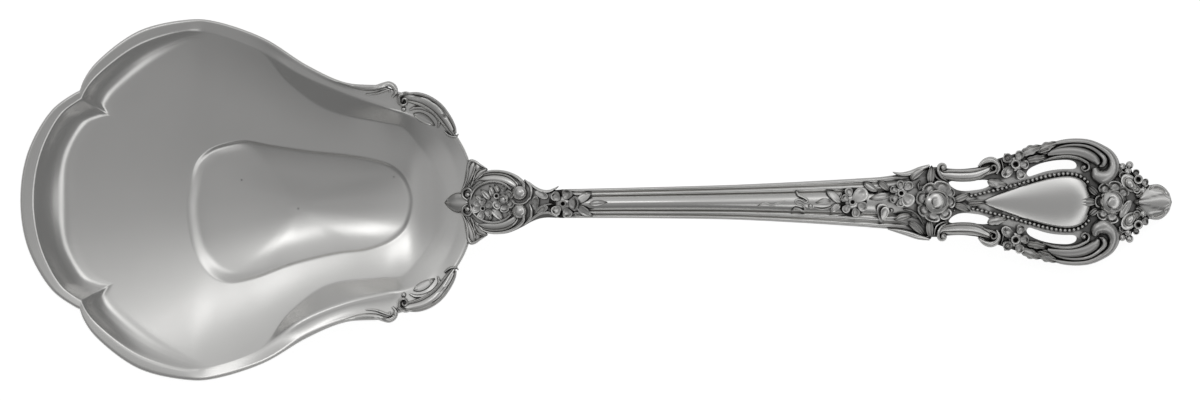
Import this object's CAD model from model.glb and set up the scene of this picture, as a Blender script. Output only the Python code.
# %% [markdown]
# # Salad serving spoon in silver
#
# The real object is a silver serving spoon: a wide shell bowl with a lobed edge and a sunken well, a reeded stem,
# and a pierced handle end with roses, leaves, C-scrolls and a beaded teardrop. This lesson builds its looks over the
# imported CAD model, piece by piece. Each CAD node is replaced by a finer piece of the same name in the same place.

# %% Load the frame
import math
from bisect import bisect_right

import bmesh
import bpy
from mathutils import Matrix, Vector
from mathutils.bvhtree import BVHTree


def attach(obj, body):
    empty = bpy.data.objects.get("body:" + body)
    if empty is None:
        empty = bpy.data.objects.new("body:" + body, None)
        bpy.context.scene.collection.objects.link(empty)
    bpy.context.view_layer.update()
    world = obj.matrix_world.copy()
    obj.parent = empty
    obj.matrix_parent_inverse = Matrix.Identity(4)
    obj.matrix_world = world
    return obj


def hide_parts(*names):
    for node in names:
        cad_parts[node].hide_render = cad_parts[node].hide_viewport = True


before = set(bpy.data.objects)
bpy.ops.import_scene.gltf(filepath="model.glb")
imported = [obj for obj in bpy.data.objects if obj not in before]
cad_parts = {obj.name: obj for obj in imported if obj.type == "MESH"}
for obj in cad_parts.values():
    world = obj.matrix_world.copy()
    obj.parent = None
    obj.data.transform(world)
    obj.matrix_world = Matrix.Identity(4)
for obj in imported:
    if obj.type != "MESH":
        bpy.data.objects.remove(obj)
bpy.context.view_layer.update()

# %% [markdown]
# ## From the photograph to metres
#
# The spoon was photographed from straight above, so a pixel is a place in plan. Writing places in pixels keeps the
# numbers readable beside the photograph. One pixel is 0.2 mm of the spoon, and the height comes from the surface
# that a piece lies on.

# %% Photograph scale
pixel = 0.0002
middle_column = 597
axis_row = 202


def plan(column, row):
    """A pixel of the photograph as a place in plan, in metres."""
    return Vector(((column - middle_column) * pixel, (axis_row - row) * pixel, 0))


# %% [markdown]
# ## Smooth curves
#
# A silversmith bends wire through a few points by eye. The helper below does the same: it draws a smooth curve
# through given points, spaced by their distances so that it doesn't loop at corners. The second helper reads a
# smooth value from a table, such as the height of the handle along its length.

# %% Curve helpers
def spline(points, steps, closed=False):
    """Samples a smooth curve through points, with so many steps between neighbours."""
    points = [Vector(point) for point in points]
    count = len(points)
    samples = []
    for i in range(count if closed else count - 1):
        b = points[i]
        c = points[(i + 1) % count]
        a = points[i - 1] if closed or i else b * 2 - c
        d = points[(i + 2) % count] if closed or i + 2 < count else c * 2 - b
        before = max((b - a).length, 1e-9) ** 0.5
        here = max((c - b).length, 1e-9) ** 0.5
        after = max((d - c).length, 1e-9) ** 0.5
        leave = (c - b) + ((b - a) / before - (c - a) / (before + here)) * here
        arrive = (c - b) + ((d - c) / after - (d - b) / (here + after)) * here
        for k in range(steps):
            t = k / steps
            samples.append(
                b * (2 * t**3 - 3 * t**2 + 1)
                + leave * (t**3 - 2 * t**2 + t)
                + c * (3 * t**2 - 2 * t**3)
                + arrive * (t**3 - t**2)
            )
    if not closed:
        samples.append(points[-1])
    return samples


def table(rows):
    """A smooth function through rows of (place, value)."""
    places = [row[0] for row in rows]
    values = [row[1] for row in rows]
    last = len(rows) - 1
    slopes = []
    for i in range(len(rows)):
        low, high = max(i - 1, 0), min(i + 1, last)
        slopes.append((values[high] - values[low]) / (places[high] - places[low]))

    def value(place):
        place = min(max(place, places[0]), places[last])
        i = min(bisect_right(places, place) - 1, last - 1)
        span = places[i + 1] - places[i]
        t = (place - places[i]) / span
        return (
            values[i] * (2 * t**3 - 3 * t**2 + 1)
            + slopes[i] * span * (t**3 - 2 * t**2 + t)
            + values[i + 1] * (3 * t**2 - 2 * t**3)
            + slopes[i + 1] * span * (t**3 - t**2)
        )

    return value


def soft_step(low, high, value):
    """Rises smoothly from 0 at low to 1 at high."""
    t = min(max((value - low) / (high - low), 0), 1)
    return t * t * (3 - 2 * t)


# %% [markdown]
# ## Growing a mesh ring by ring
#
# Sheet and wire are both made by drawing a section along a path. The mesh does it too: it starts from a capped
# circle, and each step extrudes the open ring and moves the new ring to its place. Each point also gets a tarnish
# value from 0 to 1, which the silver's material reads, because silver is polished on its high places and goes dark
# in its hollows.

# %% Mesh helpers
def start_mesh():
    """A new bmesh with a tarnish value on its points."""
    made = bmesh.new()
    made.verts.layers.float.new("tarnish")
    return made


def set_tarnish(mesh, points, values):
    layer = mesh.verts.layers.float["tarnish"]
    for point, value in zip(points, values):
        point[layer] = value


def ring_edges(mesh, ring):
    return [mesh.edges.get((ring[i - 1], ring[i])) for i in range(len(ring))]


def grow(mesh, ring, targets):
    """Extrudes an open ring and moves the new one to its targets."""
    made = bmesh.ops.extrude_edge_only(mesh, edges=ring_edges(mesh, ring))["geom"]
    fresh = {item for item in made if isinstance(item, bmesh.types.BMVert)}
    moved = []
    for point, target in zip(ring, targets):
        partner = next(edge.other_vert(point) for edge in point.link_edges if edge.other_vert(point) in fresh)
        partner.co = target
        moved.append(partner)
    return moved


def loft(mesh, rings, tarnishes):
    """A closed body through rings of points, capped at both ends."""
    first = bmesh.ops.create_circle(mesh, cap_ends=True, segments=len(rings[0]), radius=1)["verts"]
    for point, target in zip(first, rings[0]):
        point.co = target
    set_tarnish(mesh, first, tarnishes[0])
    ring = first
    for targets, values in zip(rings[1:], tarnishes[1:]):
        ring = grow(mesh, ring, targets)
        set_tarnish(mesh, ring, values)
    bmesh.ops.holes_fill(mesh, edges=ring_edges(mesh, ring), sides=0)


def to_scene(mesh, name):
    """Puts a finished bmesh into the scene as an object."""
    data = bpy.data.meshes.new(name)
    mesh.to_mesh(data)
    mesh.free()
    made = bpy.data.objects.new(name, data)
    bpy.context.scene.collection.objects.link(made)
    return made


crease_angle = math.radians(50)


def finish(mesh, name, nodes, slot):
    """Turns a bmesh into a piece that replaces its CAD node and has the silver of its slot."""
    bmesh.ops.recalc_face_normals(mesh, faces=mesh.faces)
    for face in mesh.faces:
        face.smooth = True
    for edge in mesh.edges:
        if len(edge.link_faces) == 2 and edge.calc_face_angle(0) > crease_angle:
            edge.smooth = False
    piece = to_scene(mesh, name)
    piece.data.materials.append(silvers[slot])
    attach(piece, "root")
    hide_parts(*nodes)
    print(name, "has", len(piece.data.polygons), "faces")
    return piece


# %% [markdown]
# ## Camera
#
# The photograph looks straight down with hardly any perspective, so the camera is high with a long lens. Its width
# of view is the photograph's 1200 columns.

# %% Camera
image_columns = 1200
image_rows = 401
lens_length = 300
sensor_width = 36
mid_height = 0.008
view_width = image_columns * pixel
camera_height = view_width * lens_length / sensor_width

camera_data = bpy.data.cameras.new("above")
camera_data.lens = lens_length
camera_data.sensor_width = sensor_width
camera_data.clip_end = 20
camera = bpy.data.objects.new("above", camera_data)
image_middle = plan(image_columns / 2, image_rows / 2)
camera.location = (image_middle.x, image_middle.y, mid_height + camera_height)
bpy.context.scene.collection.objects.link(camera)
bpy.context.scene.camera = camera
print("camera height:", round(camera_height, 3))

# %% [markdown]
# ## Light
#
# Polished silver has no colour of its own to show: it shows the room. A silversmith photographs it in a light tent,
# whose cloth is an even grey overhead and darker at the horizon. Brighter patches of the cloth do the drawing: a
# soft window high on the upper left, a broad glow on the upper side, a faint one beyond the front of the bowl, and a
# bright wall towards the handle that lines the folds at the front of the bowl. Close to overhead the cloth is a
# little darker. The tent is the world here, with each patch a smooth spot round a direction. The first helper adds
# nodes: it takes a node's kind, what its inputs hold or are linked to, and its settings.

# %% Node helper
def node_maker(tree):
    """Empties a node tree and gives back a function that adds nodes to it."""
    tree.nodes.clear()

    def add(kind, inputs=None, **settings):
        node = tree.nodes.new("ShaderNode" + kind)
        for setting, value in settings.items():
            setattr(node, setting, value)
        for socket, value in (inputs or {}).items():
            if isinstance(value, bpy.types.NodeSocket):
                tree.links.new(value, node.inputs[socket])
            else:
                node.inputs[socket].default_value = value
        return node

    return add


# %% World
scene = bpy.context.scene
world = bpy.data.worlds.new("light_tent")
scene.world = world
world.use_nodes = True
tent_node = node_maker(world.node_tree)
direction = tent_node("TexCoord").outputs["Generated"]
split = tent_node("SeparateXYZ", {0: direction})
cloth = tent_node("ValToRGB", {"Fac": split.outputs["Z"]})
cloth_greys = ((0, 0.16), (0.3, 0.17), (0.55, 0.21), (0.8, 0.27), (0.95, 0.34), (1, 0.36))
for position, grey in cloth_greys[1:-1]:
    cloth.color_ramp.elements.new(position)
for element, (position, grey) in zip(cloth.color_ramp.elements, cloth_greys):
    element.position = position
    element.color = (grey, grey, grey, 1)
tent_light = cloth.outputs["Color"]


def towards(heading, tilt):
    """A direction from a heading round the spoon and a tilt from straight up, in degrees."""
    turn, lean = math.radians(heading), math.radians(tilt)
    return Vector((math.sin(lean) * math.cos(turn), math.sin(lean) * math.sin(turn), math.cos(lean)))


def bright_patch(light, heading, tilt, inner, outer, strength):
    """Adds a soft round patch to the tent: full inside one angle and gone outside another."""
    closeness = tent_node("VectorMath", {0: direction, 1: towards(heading, tilt)}, operation="DOT_PRODUCT")
    limits = {"From Min": math.cos(math.radians(outer)), "From Max": math.cos(math.radians(inner))}
    spot = tent_node(
        "MapRange",
        {"Value": closeness.outputs["Value"], "To Max": strength, **limits},
        interpolation_type="SMOOTHSTEP",
    )
    added = tent_node(
        "Mix",
        {"Factor": 1, "A": light, "B": spot.outputs["Result"]},
        data_type="RGBA", blend_type="ADD", clamp_result=False,
    )
    return added.outputs["Result"]


patches = [(128, 27, 4, 14, 0.22), (99, 49, 29, 51, 0.31), (200, 13, 5, 22, -0.08), (180, 42, 8, 30, 0.14)]
wall_tilt, wall_inner, wall_outer = 47, 5, 12
for heading, strength in ((-72, 0.7), (-48, 0.8), (-24, 0.7), (0, 0.8), (24, 0.7), (48, 0.85), (70, 0.4)):
    patches.append((heading, wall_tilt, wall_inner, wall_outer, strength))
for patch in patches:
    tent_light = bright_patch(tent_light, *patch)
tent = tent_node("Background", {"Color": tent_light})
white = tent_node("Background", {"Color": (1, 1, 1, 1)})
for_camera = tent_node("LightPath").outputs["Is Camera Ray"]
choice = tent_node("MixShader", {"Fac": for_camera, 1: tent.outputs[0], 2: white.outputs[0]})
tent_node("OutputWorld", {"Surface": choice.outputs[0]})
print("world: light tent with", len(patches), "patches")


# %% Lamp
def window(name, heading, tilt, width, height, power, distance=1.0):
    """A soft rectangular lamp that looks at the spoon."""
    data = bpy.data.lights.new(name, "AREA")
    data.shape = "RECTANGLE"
    data.size = width
    data.size_y = height
    data.energy = power
    lamp = bpy.data.objects.new(name, data)
    lamp.location = towards(heading, tilt) * distance
    lamp.rotation_euler = towards(heading, tilt).to_track_quat("Z", "Y").to_euler()
    scene.collection.objects.link(lamp)
    return lamp


window("high_window", 128, 27, 0.26, 0.18, 0.16)
print("lamps:", len(bpy.data.lights))

# %% [markdown]
# ## Floor
#
# The spoon lies on white paper. The paper keeps the spoon's soft shadow, and a glow of its own makes it white for
# the camera. The silver sees the paper with less of that glow, so that the underside of the bowl stays silver.

# %% Floor
paper_size = 6
paper_level = -0.0002
silver_glow = 0.34
extra_camera_glow = 0.54

floor_mesh = bmesh.new()
bmesh.ops.create_grid(floor_mesh, x_segments=1, y_segments=1, size=paper_size)
bmesh.ops.translate(floor_mesh, verts=floor_mesh.verts, vec=(0, 0, paper_level))
floor = to_scene(floor_mesh, "floor")
paper = bpy.data.materials.new("white_paper")
paper.use_nodes = True
paper_node = node_maker(paper.node_tree)
rays = paper_node("LightPath").outputs
seen = paper_node(
    "Math", {0: rays["Is Camera Ray"], 1: rays["Is Transmission Ray"]}, operation="ADD", use_clamp=True
).outputs[0]
seen_all = paper_node("Math", {0: seen, 1: rays["Is Glossy Ray"]}, operation="ADD", use_clamp=True).outputs[0]
matt = paper_node("BsdfDiffuse", {"Color": (0.8, 0.8, 0.8, 1)})
faint = paper_node("BsdfDiffuse", {"Color": (0.4, 0.4, 0.4, 1)})
glow_amount = paper_node("Math", {0: seen, 1: extra_camera_glow, 2: silver_glow}, operation="MULTIPLY_ADD")
glow = paper_node("Emission", {"Strength": glow_amount.outputs[0]})
both = paper_node("AddShader", {0: faint.outputs[0], 1: glow.outputs[0]})
pick = paper_node("MixShader", {"Fac": seen_all, 1: matt.outputs[0], 2: both.outputs[0]})
paper_node("OutputMaterial", {"Surface": pick.outputs[0]})
floor.data.materials.append(paper)
print("floor:", paper.name)

# %% [markdown]
# ## Silver
#
# One recipe serves for all of the spoon. The metal is nearly white and quite glossy. Fine wiping scratches run along
# the spoon as a faint bump, and handling makes the gloss uneven. The relief was dipped in an oxidising bath and
# wiped, so its hollows are black: the tarnish value of the mesh and the ambient occlusion of narrow gaps add up to
# that darkness.

# %% Silver material
silver_colour = (0.83, 0.825, 0.81, 1)
tarnish_colour = (0.022, 0.021, 0.02, 1)


def silver(name, gap, strength, gloss):
    """Silver that goes dark in gaps narrower than gap, by a strength, with a base roughness."""
    material = bpy.data.materials.new(name)
    material.use_nodes = True
    add = node_maker(material.node_tree)
    place = add("TexCoord").outputs["Object"]

    hollow = add("AmbientOcclusion", {"Distance": gap}, samples=12)
    shade = add(
        "MapRange",
        {"Value": hollow.outputs["AO"], "From Min": 0.25, "From Max": 0.85, "To Min": strength, "To Max": 0},
        interpolation_type="SMOOTHSTEP",
    )
    painted = add("Attribute", attribute_name="tarnish")
    total = add(
        "Math", {0: shade.outputs["Result"], 1: painted.outputs["Fac"]}, operation="ADD", use_clamp=True
    ).outputs[0]

    cloud = add("TexNoise", {"Vector": place, "Scale": 90, "Detail": 4}).outputs["Fac"]
    duller = tuple(0.9 * value for value in silver_colour[:3]) + (1,)
    tint = add("Mix", {"Factor": cloud, "A": silver_colour, "B": duller}, data_type="RGBA")
    specks = add("TexVoronoi", {"Vector": place, "Scale": 120})
    pits = add(
        "MapRange",
        {"Value": specks.outputs["Distance"], "From Min": 0.015, "From Max": 0.035, "To Min": 0.35, "To Max": 0},
    )
    dark = add("Math", {0: total, 1: pits.outputs["Result"]}, operation="MAXIMUM")
    colour = add(
        "Mix", {"Factor": dark.outputs[0], "A": tint.outputs["Result"], "B": tarnish_colour}, data_type="RGBA"
    )

    wear = add("MapRange", {"Value": cloud, "To Min": gloss - 0.03, "To Max": gloss + 0.05})
    rough = add("Math", {0: total, 1: 0.3, 2: wear.outputs["Result"]}, operation="MULTIPLY_ADD")

    stretch = add("Mapping", {"Vector": place, "Scale": (300, 3600, 900)})
    scratches = add("TexNoise", {"Vector": stretch.outputs["Vector"], "Scale": 1, "Detail": 3})
    bump = add("Bump", {"Height": scratches.outputs["Fac"], "Strength": 0.12, "Distance": 0.00002})
    shader = add(
        "BsdfPrincipled",
        {
            "Base Color": colour.outputs["Result"],
            "Roughness": rough.outputs[0],
            "Normal": bump.outputs["Normal"],
            "Metallic": 1,
        },
    )
    add("OutputMaterial", {"Surface": shader.outputs[0]})
    return material


silvers = {
    "polished_silver": silver("polished_silver", 0.0006, 0.3, 0.23),
    "relief_silver": silver("relief_silver", 0.0006, 0.65, 0.24),
}
print("silvers:", *silvers)

# %% [markdown]
# ## Heights
#
# Seen from the side, the bowl rests on its well, its rim is a little higher in the middle of its length, and the
# handle rises from the heel to a crest and comes down to the tip. These tables give those heights along the spoon,
# in pixels and metres.

# %% Height tables
rim_height = table(
    [
        (20, 0.00965), (139, 0.01028), (232, 0.0106), (351, 0.01018), (405, 0.0096), (430, 0.0092), (450, 0.0088),
        (477, 0.0086),
    ]
)
spine_height = table(
    [
        (445, 0.008), (466, 0.00962), (487, 0.01116), (558, 0.01488), (649, 0.01786), (721, 0.0186),
        (802, 0.0173), (884, 0.01432), (948, 0.01116), (1020, 0.00744), (1092, 0.00437), (1140, 0.0027),
        (1153.6, 0.00251), (1174, 0.00279),
    ]
)
thickness = table(
    [
        (445, 0.0038), (487, 0.00425), (558, 0.00374), (656, 0.0034), (884, 0.00323), (948, 0.003), (1063, 0.00272),
        (1130, 0.00258), (1154, 0.00238), (1174, 0.00153),
    ]
)
print("crest:", spine_height(721))

# %% [markdown]
# ## Bowl: the floor's dish
#
# Without its step and its well the bowl would be one shallow dish, and the floor is what shows of it. Its height is
# a formula of the place, so no crease can run across it: it rises gently to the front, more to both sides, and most
# of all to the heel, where it becomes the rim.

# %% Bowl floor
floor_spine = table(
    [
        (20, 0.0056), (64, 0.00515), (103, 0.00472), (145, 0.00418), (187, 0.00375), (240, 0.00347), (300, 0.00337),
        (350, 0.0034), (380, 0.00348), (400, 0.00364), (413, 0.00405), (430, 0.0054), (446, 0.0068),
        (460, 0.0077), (476, 0.0082),
    ]
)
half_width = table(
    [
        (20, 180), (190, 180), (214, 178), (240, 171.5), (264, 163), (308, 142), (346, 128), (384, 121),
        (400, 113), (431, 103), (454, 80), (468, 70), (476, 66),
    ]
)
bowl_axis = table([(20, 200), (200, 199.8), (264, 200.5), (308, 201.5), (346, 202.3), (390, 202.5), (476, 201.5)])
flange_inset = table([(20, 1), (110, 1), (190, 0.962), (214, 0.932), (290, 0.92), (480, 0.92)])
flange_drop = 0.0006
dish_power = 2.2


def floor_height(at):
    column, row = at.x / pixel + middle_column, axis_row - at.y / pixel
    share = abs(row - bowl_axis(column)) / half_width(column) / flange_inset(column)
    spine = floor_spine(column)
    return spine + (rim_height(column) - flange_drop - spine) * share**dish_power


print("floor under its middle:", round(floor_height(plan(240, 200)), 5))

# %% [markdown]
# ## Bowl: the curves in plan
#
# Three curves run round the bowl: the rim, the top of the step inside it, and the foot of that step. All three have
# a corner where the rim is pinched between two lobes. Each row below holds the three curves at one place of the
# upper half, in pixels, and how much of the step there is: 1 puts its top up at the flange, and 0 leaves it down on
# the floor. The lower half mirrors the upper one, with the long facet a little closer to the middle, and two smooth
# curves meet at the pinches.

# %% Bowl curves
millimetre = 0.001
cusp_row = 4
bowl_rows = [
    (20.5, 200, 33, 200, 64.5, 201, 1),
    (28, 152, 41, 152, 67, 156, 1),
    (52, 110, 60.5, 115, 86, 122, 1),
    (75, 93, 75, 103, 99.5, 115.5, 1),
    (80, 90.5, 81.5, 99, 107.5, 114, 1),
    (84, 80, 86, 90, 104, 106, 1),
    (96, 63, 97, 76, 111, 93, 1),
    (139, 31, 139, 44.5, 146, 64, 1),
    (190, 19.5, 187, 30.5, 190, 41, 0.9),
    (214, 21, 211, 33, 211.5, 36, 0),
    (264, 38, 257, 49, 259, 51, 0),
    (308, 65.5, 302, 75, 289, 83, 1),
    (346, 82.5, 346, 93.5, 326, 109, 1),
    (384, 86, 388, 108.5, 383, 122.5, 0.85),
    (400, 92, 404, 113, 402, 127, 0.6),
    (431, 99.5, 426, 124, 419, 146, 0.35),
    (454, 131, 446, 147, 434, 167, 0.15),
    (468, 157, 456, 171, 444, 183, 0),
    (476, 200, 460, 200, 448, 200, 0),
]
lower_shift = table([(20, 0), (250, 0), (259, 1), (302, 8), (346, 9), (390, 4), (410, 1), (440, 0)])
bowl_steps = 8


def bowl_curve(place):
    """One closed curve round the bowl, from the pinch of the lower half through the front and back round."""
    upper, lower = [], []
    for row in bowl_rows:
        column, height = row[place], row[place + 1]
        shift = lower_shift(column) if place else 0
        upper.append(plan(column, height))
        lower.append(plan(column, 2 * bowl_axis(column) - height - shift))
        upper[-1].z = lower[-1].z = row[6] * millimetre
    front = lower[1:cusp_row + 1][::-1] + upper[:cusp_row + 1]
    rear = upper[cusp_row:] + lower[cusp_row:-1][::-1]
    return spline(front, bowl_steps)[:-1] + spline(rear, bowl_steps)[:-1]


flange_top_drop = 0.00017


def raised(at, share):
    """The same place at its height, between the floor and the level of the flange."""
    floor = floor_height(at)
    flange = rim_height(at.x / pixel + middle_column) - flange_top_drop
    return Vector((at.x, at.y, floor + (flange - floor) * soft_step(0, millimetre, share)))


def eased(curve, reach):
    """The same curve with its corners worn away, each point being the mean of its neighbours."""
    count = len(curve)
    spans = [[curve[(i + k) % count] for k in range(-reach, reach + 1)] for i in range(count)]
    return [sum(span, Vector()) / len(span) for span in spans]


rim_curve = [Vector((at.x, at.y, rim_height(at.x / pixel + middle_column))) for at in bowl_curve(0)]
step_top_curve = [raised(at, at.z) for at in bowl_curve(2)]
step_foot_curve = [raised(at, 0) for at in bowl_curve(4)]
floor_reach_curve = eased(eased(step_foot_curve, 9), 9)
print("points round the bowl:", len(rim_curve))

# %% [markdown]
# ## Bowl: the well
#
# The well is a sunken panel with a crisp edge, narrower towards the heel. Its front slope is a narrow band and the
# rest of it deepens softly. The radius from the well's middle to its edge is found for each direction.

# %% Well outline
well_outline = [
    (187, 188), (185, 207), (187, 228), (192, 250), (201, 267), (213, 278), (229, 283), (253, 279), (291, 265),
    (337, 254), (368, 250), (391, 241), (405, 229), (411, 215), (413, 200), (411, 189), (404, 175), (392, 165),
    (374, 159), (352, 155), (306, 150), (267, 144), (244, 140), (228, 142), (208, 149), (194, 163),
]
well_middle = plan(299, 206)
sheet = 0.0014
well_curve = spline([plan(*point) for point in well_outline], 10, closed=True)
well_angles = sorted(
    (math.atan2(at.y - well_middle.y, at.x - well_middle.x), (at - well_middle).length) for at in well_curve
)
well_radius_rows = (
    [(angle - 2 * math.pi, radius) for angle, radius in well_angles]
    + well_angles
    + [(angle + 2 * math.pi, radius) for angle, radius in well_angles]
)
well_radius_angles = [row[0] for row in well_radius_rows]


def well_radius(angle):
    i = bisect_right(well_radius_angles, angle)
    (a, low), (b, high) = well_radius_rows[i - 1], well_radius_rows[i]
    return low + (high - low) * (angle - a) / (b - a)


print("well, front to back:", round(well_radius(math.pi) + well_radius(0), 4))

# %% [markdown]
# ## Bowl: the profile
#
# From the well's middle outwards, a profile climbs the well, crosses the floor, climbs the step, crosses the flange
# and turns round the lip to the underside. Sheet metal bent over a stake has no sharp corners, so each corner is
# rounded by a short curve. The hollow corner at the foot of the step is the widest, and it is the one that catches
# a bright line.

# %% Bowl profile
well_shares = [0.12, 0.25, 0.38, 0.5, 0.6, 0.68, 0.75, 0.81, 0.86, 0.885, 0.91, 0.93, 0.95, 0.965, 0.98]
floor_shares = [0.12, 0.25, 0.38, 0.5, 0.6, 0.7, 0.78, 0.85, 0.91]
corner_shares = [0, 0.2, 0.4, 0.6, 0.8, 1]
lip_turns = [20, 50, 80, 110, 140, 165]
well_edge_round = 0.0005
foot_round = table([(20, 0.0016), (100, 0.0015), (140, 0.0011), (190, 0.0006), (220, 0.0004), (480, 0.0004)])
top_round = 0.0005
wall_hollow = table([(20, 0.00035), (190, 0.00035), (250, 0), (480, 0)])
lip_width = 0.00042
roll_rise = table([(20, 0), (232, 0), (300, 0.00022), (365, 0.00045), (400, 0.0002), (430, 0)])
full_step = 0.004


def corner(before, at, after, reach):
    """Points on a short curve that rounds a corner."""
    back, onward = before - at, after - at
    start = at + back.normalized() * min(reach, back.length * 0.45)
    end = at + onward.normalized() * min(reach, onward.length * 0.45)
    return [start * (1 - t) ** 2 + at * (2 * t * (1 - t)) + end * t**2 for t in corner_shares]


def well_point(heading, share):
    """A place in the well, whose front slope is a narrow band and whose other edges are crisp."""
    radius = well_radius(math.atan2(heading.y, heading.x))
    at = well_middle + heading * (radius * share)
    edge_height = floor_height(well_middle + heading * radius)
    front = soft_step(0.1, 0.9, -heading.x) * (1 - 0.85 * soft_step(0.1, 0.6, heading.y))
    hollow = share**2 * (0.75 + 0.25 * share**2)
    crisp = 0.88 * hollow + 0.12 * soft_step(0.955, 1, share)
    banded = 0.85 * hollow + 0.15 * soft_step(0.86, 1, share)
    at.z = sheet + (edge_height - sheet) * (crisp + (banded - crisp) * front)
    return at


def floor_point(edge, reach, foot, share):
    """A place on the floor, on a line that only turns towards a pinch of the step close to it."""
    at = edge.lerp(reach.lerp(foot, soft_step(0.6, 1, share)), share)
    at.z = floor_height(at)
    return at


def under(point):
    return Vector((point.x, point.y, max(point.z - sheet, 0)))


bowl_columns = []
for rim, top, foot, reach in zip(rim_curve, step_top_curve, step_foot_curve, floor_reach_curve):
    heading = Vector((reach.x - well_middle.x, reach.y - well_middle.y, 0)).normalized()
    outward = Vector((rim.x - top.x, rim.y - top.y, 0)).normalized()
    column = (rim.x / pixel) + middle_column
    roll = roll_rise(column)
    edge = well_point(heading, 1)
    wall_share = min((top.z - foot.z) / full_step, 1)
    crown = rim - outward * lip_width
    crown.z += roll
    groove = crown.lerp(top, 0.45)
    groove.z -= 0.6 * roll
    middle = foot.lerp(top, 0.5)
    middle.z -= wall_hollow(column) * wall_share
    inside = floor_point(edge, reach, foot, 0.85)
    outer_floor = floor_point(edge, reach, foot, floor_shares[0])
    profile = [well_point(heading, share) for share in well_shares]
    profile += corner(well_point(heading, 0.985), edge, outer_floor, well_edge_round)
    profile += [floor_point(edge, reach, foot, share) for share in floor_shares]
    profile += corner(inside, foot, middle, foot_round(column))
    profile += [foot.lerp(middle, 0.7), middle, middle.lerp(top, 0.5)]
    profile += corner(middle, top, groove, top_round)
    profile += [top.lerp(groove, 0.5), groove, groove.lerp(crown, 0.6), crown]
    lip_middle = crown - Vector((0, 0, sheet / 2 + roll / 2))
    for degrees in lip_turns:
        swing = math.radians(degrees)
        bulge = outward * (math.sin(swing) * lip_width)
        profile.append(lip_middle + bulge + Vector((0, 0, math.cos(swing) * (sheet + roll) / 2)))
    profile += [crown - Vector((0, 0, sheet + roll))]
    profile += [under(point) for point in (top.lerp(crown, 0.4), top, middle.lerp(top, 0.6))]
    profile += [under(point) for point in (middle, foot.lerp(middle, 0.4), foot)]
    profile += [under(floor_point(edge, reach, foot, share)) for share in reversed(floor_shares)]
    profile += [under(edge)]
    profile += [under(well_point(heading, share)) for share in (0.85, 0.7, 0.55, 0.4, 0.2)]
    bowl_columns.append(profile)
bowl_rings = [list(ring) for ring in zip(*bowl_columns)]
print("bowl:", len(bowl_rings), "rings of", len(bowl_rings[0]))

# %% Bowl
bowl_mesh = start_mesh()
loft(bowl_mesh, bowl_rings, [[0.0] * len(ring) for ring in bowl_rings])
bowl = finish(bowl_mesh, "spoon_bowl", ["bowl"], "polished_silver")

# %% [markdown]
# ## Handle: outline and section
#
# The handle is one drawn and filed bar. Along the stem it has a rounded field between two pairs of reeds. In the
# cartouche and in the pierced end, its top is a plain dark ground for the ornament, kept a little inside the edge
# so that petals and scrolls make the outline.

# %% Handle outline
handle_edges = [
    (446, 201.5, 204), (452, 198.5, 207), (457, 195.5, 210), (462, 192, 213.5), (465, 188.5, 217), (468, 184, 221.5),
    (471, 179.5, 226), (475, 176.5, 229), (484, 174.5, 232), (492, 173.3, 233.5), (500, 173, 234), (508, 174, 233),
    (516, 177, 230), (524, 181, 226), (532, 185.5, 221.5), (540, 189, 218.5), (548, 190.5, 217.5),
    (556, 190, 217.8), (564, 189.3, 218), (572, 189, 218),
    (640, 187.4, 218.2), (727, 185, 219.4), (796, 181.9, 222.6), (860, 178.3, 226.7),
    (876, 177.3, 228), (884, 176.5, 228.5), (900, 174, 230), (916, 170.5, 234), (932, 167, 237), (948, 168.5, 235.5),
    (960, 169, 235), (972, 168, 236), (980, 166.5, 237.5), (988, 162, 241.5), (1000, 158, 245.5), (1014, 154, 250),
    (1028, 150, 254), (1044, 144.5, 259), (1060, 142.5, 261), (1076, 140.5, 262.5), (1092, 142.5, 260.5),
    (1100, 145, 257), (1108, 150, 253), (1116, 158, 246), (1124, 166, 238), (1132, 170, 234), (1140, 178, 227),
    (1148, 183, 221), (1156, 188, 216), (1164, 191, 213), (1170, 197, 207),
]
handle_upper = table([(row[0], row[1]) for row in handle_edges])
handle_lower = table([(row[0], row[2]) for row in handle_edges])
reed_fade = table([(550, 0), (556, 0), (590, 1), (872, 1), (940, 0), (960, 0)])
reed_profile = table(
    [
        (0, 0), (0.2, -0.03), (0.4, -0.2), (0.44, -0.35), (0.48, -1.25), (0.52, -0.55), (0.56, -0.2), (0.62, 0),
        (0.68, -0.2), (0.72, -0.55), (0.76, -1.35), (0.8, -0.7), (0.84, -0.35), (0.9, -0.2), (0.95, -0.5), (1, -1.5),
    ]
)
reed_depth = 0.00038
field_crown = 0.00085
edge_drop = 0.0005


def across_share(column, row):
    """How far a place is across the handle, from -1 at the lower edge to 1 at the upper one."""
    upper, lower = handle_upper(column), handle_lower(column)
    return ((upper + lower) / 2 - row) / ((lower - upper) / 2)


def handle_top(column, row):
    """Height of the handle's top face under a pixel."""
    share = min(abs(across_share(column, row)), 1)
    fade = reed_fade(column)
    field = field_crown * max(0, 1 - (share / 0.48) ** 2)
    reeded = field + reed_depth * reed_profile(share)
    return spine_height(column) + fade * reeded - (1 - fade) * edge_drop * share**4


def stem_cushion(column, row):
    """The same face without its reeds, as a base for leaves and petals that lie across them."""
    share = min(abs(across_share(column, row)) / 0.75, 1)
    return spine_height(column) + reed_fade(column) * field_crown * (1 - share**2) ** 2


print("stem top at its middle:", round(handle_top(721, 202.5), 5))

# %% [markdown]
# ## Handle: drawing the bar
#
# The section's points lie closest where the reeds are. The bar grows station by station. The ground's tarnish is
# full in the cartouche and the pierced end, and the stem and the whole back are polished.

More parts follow.
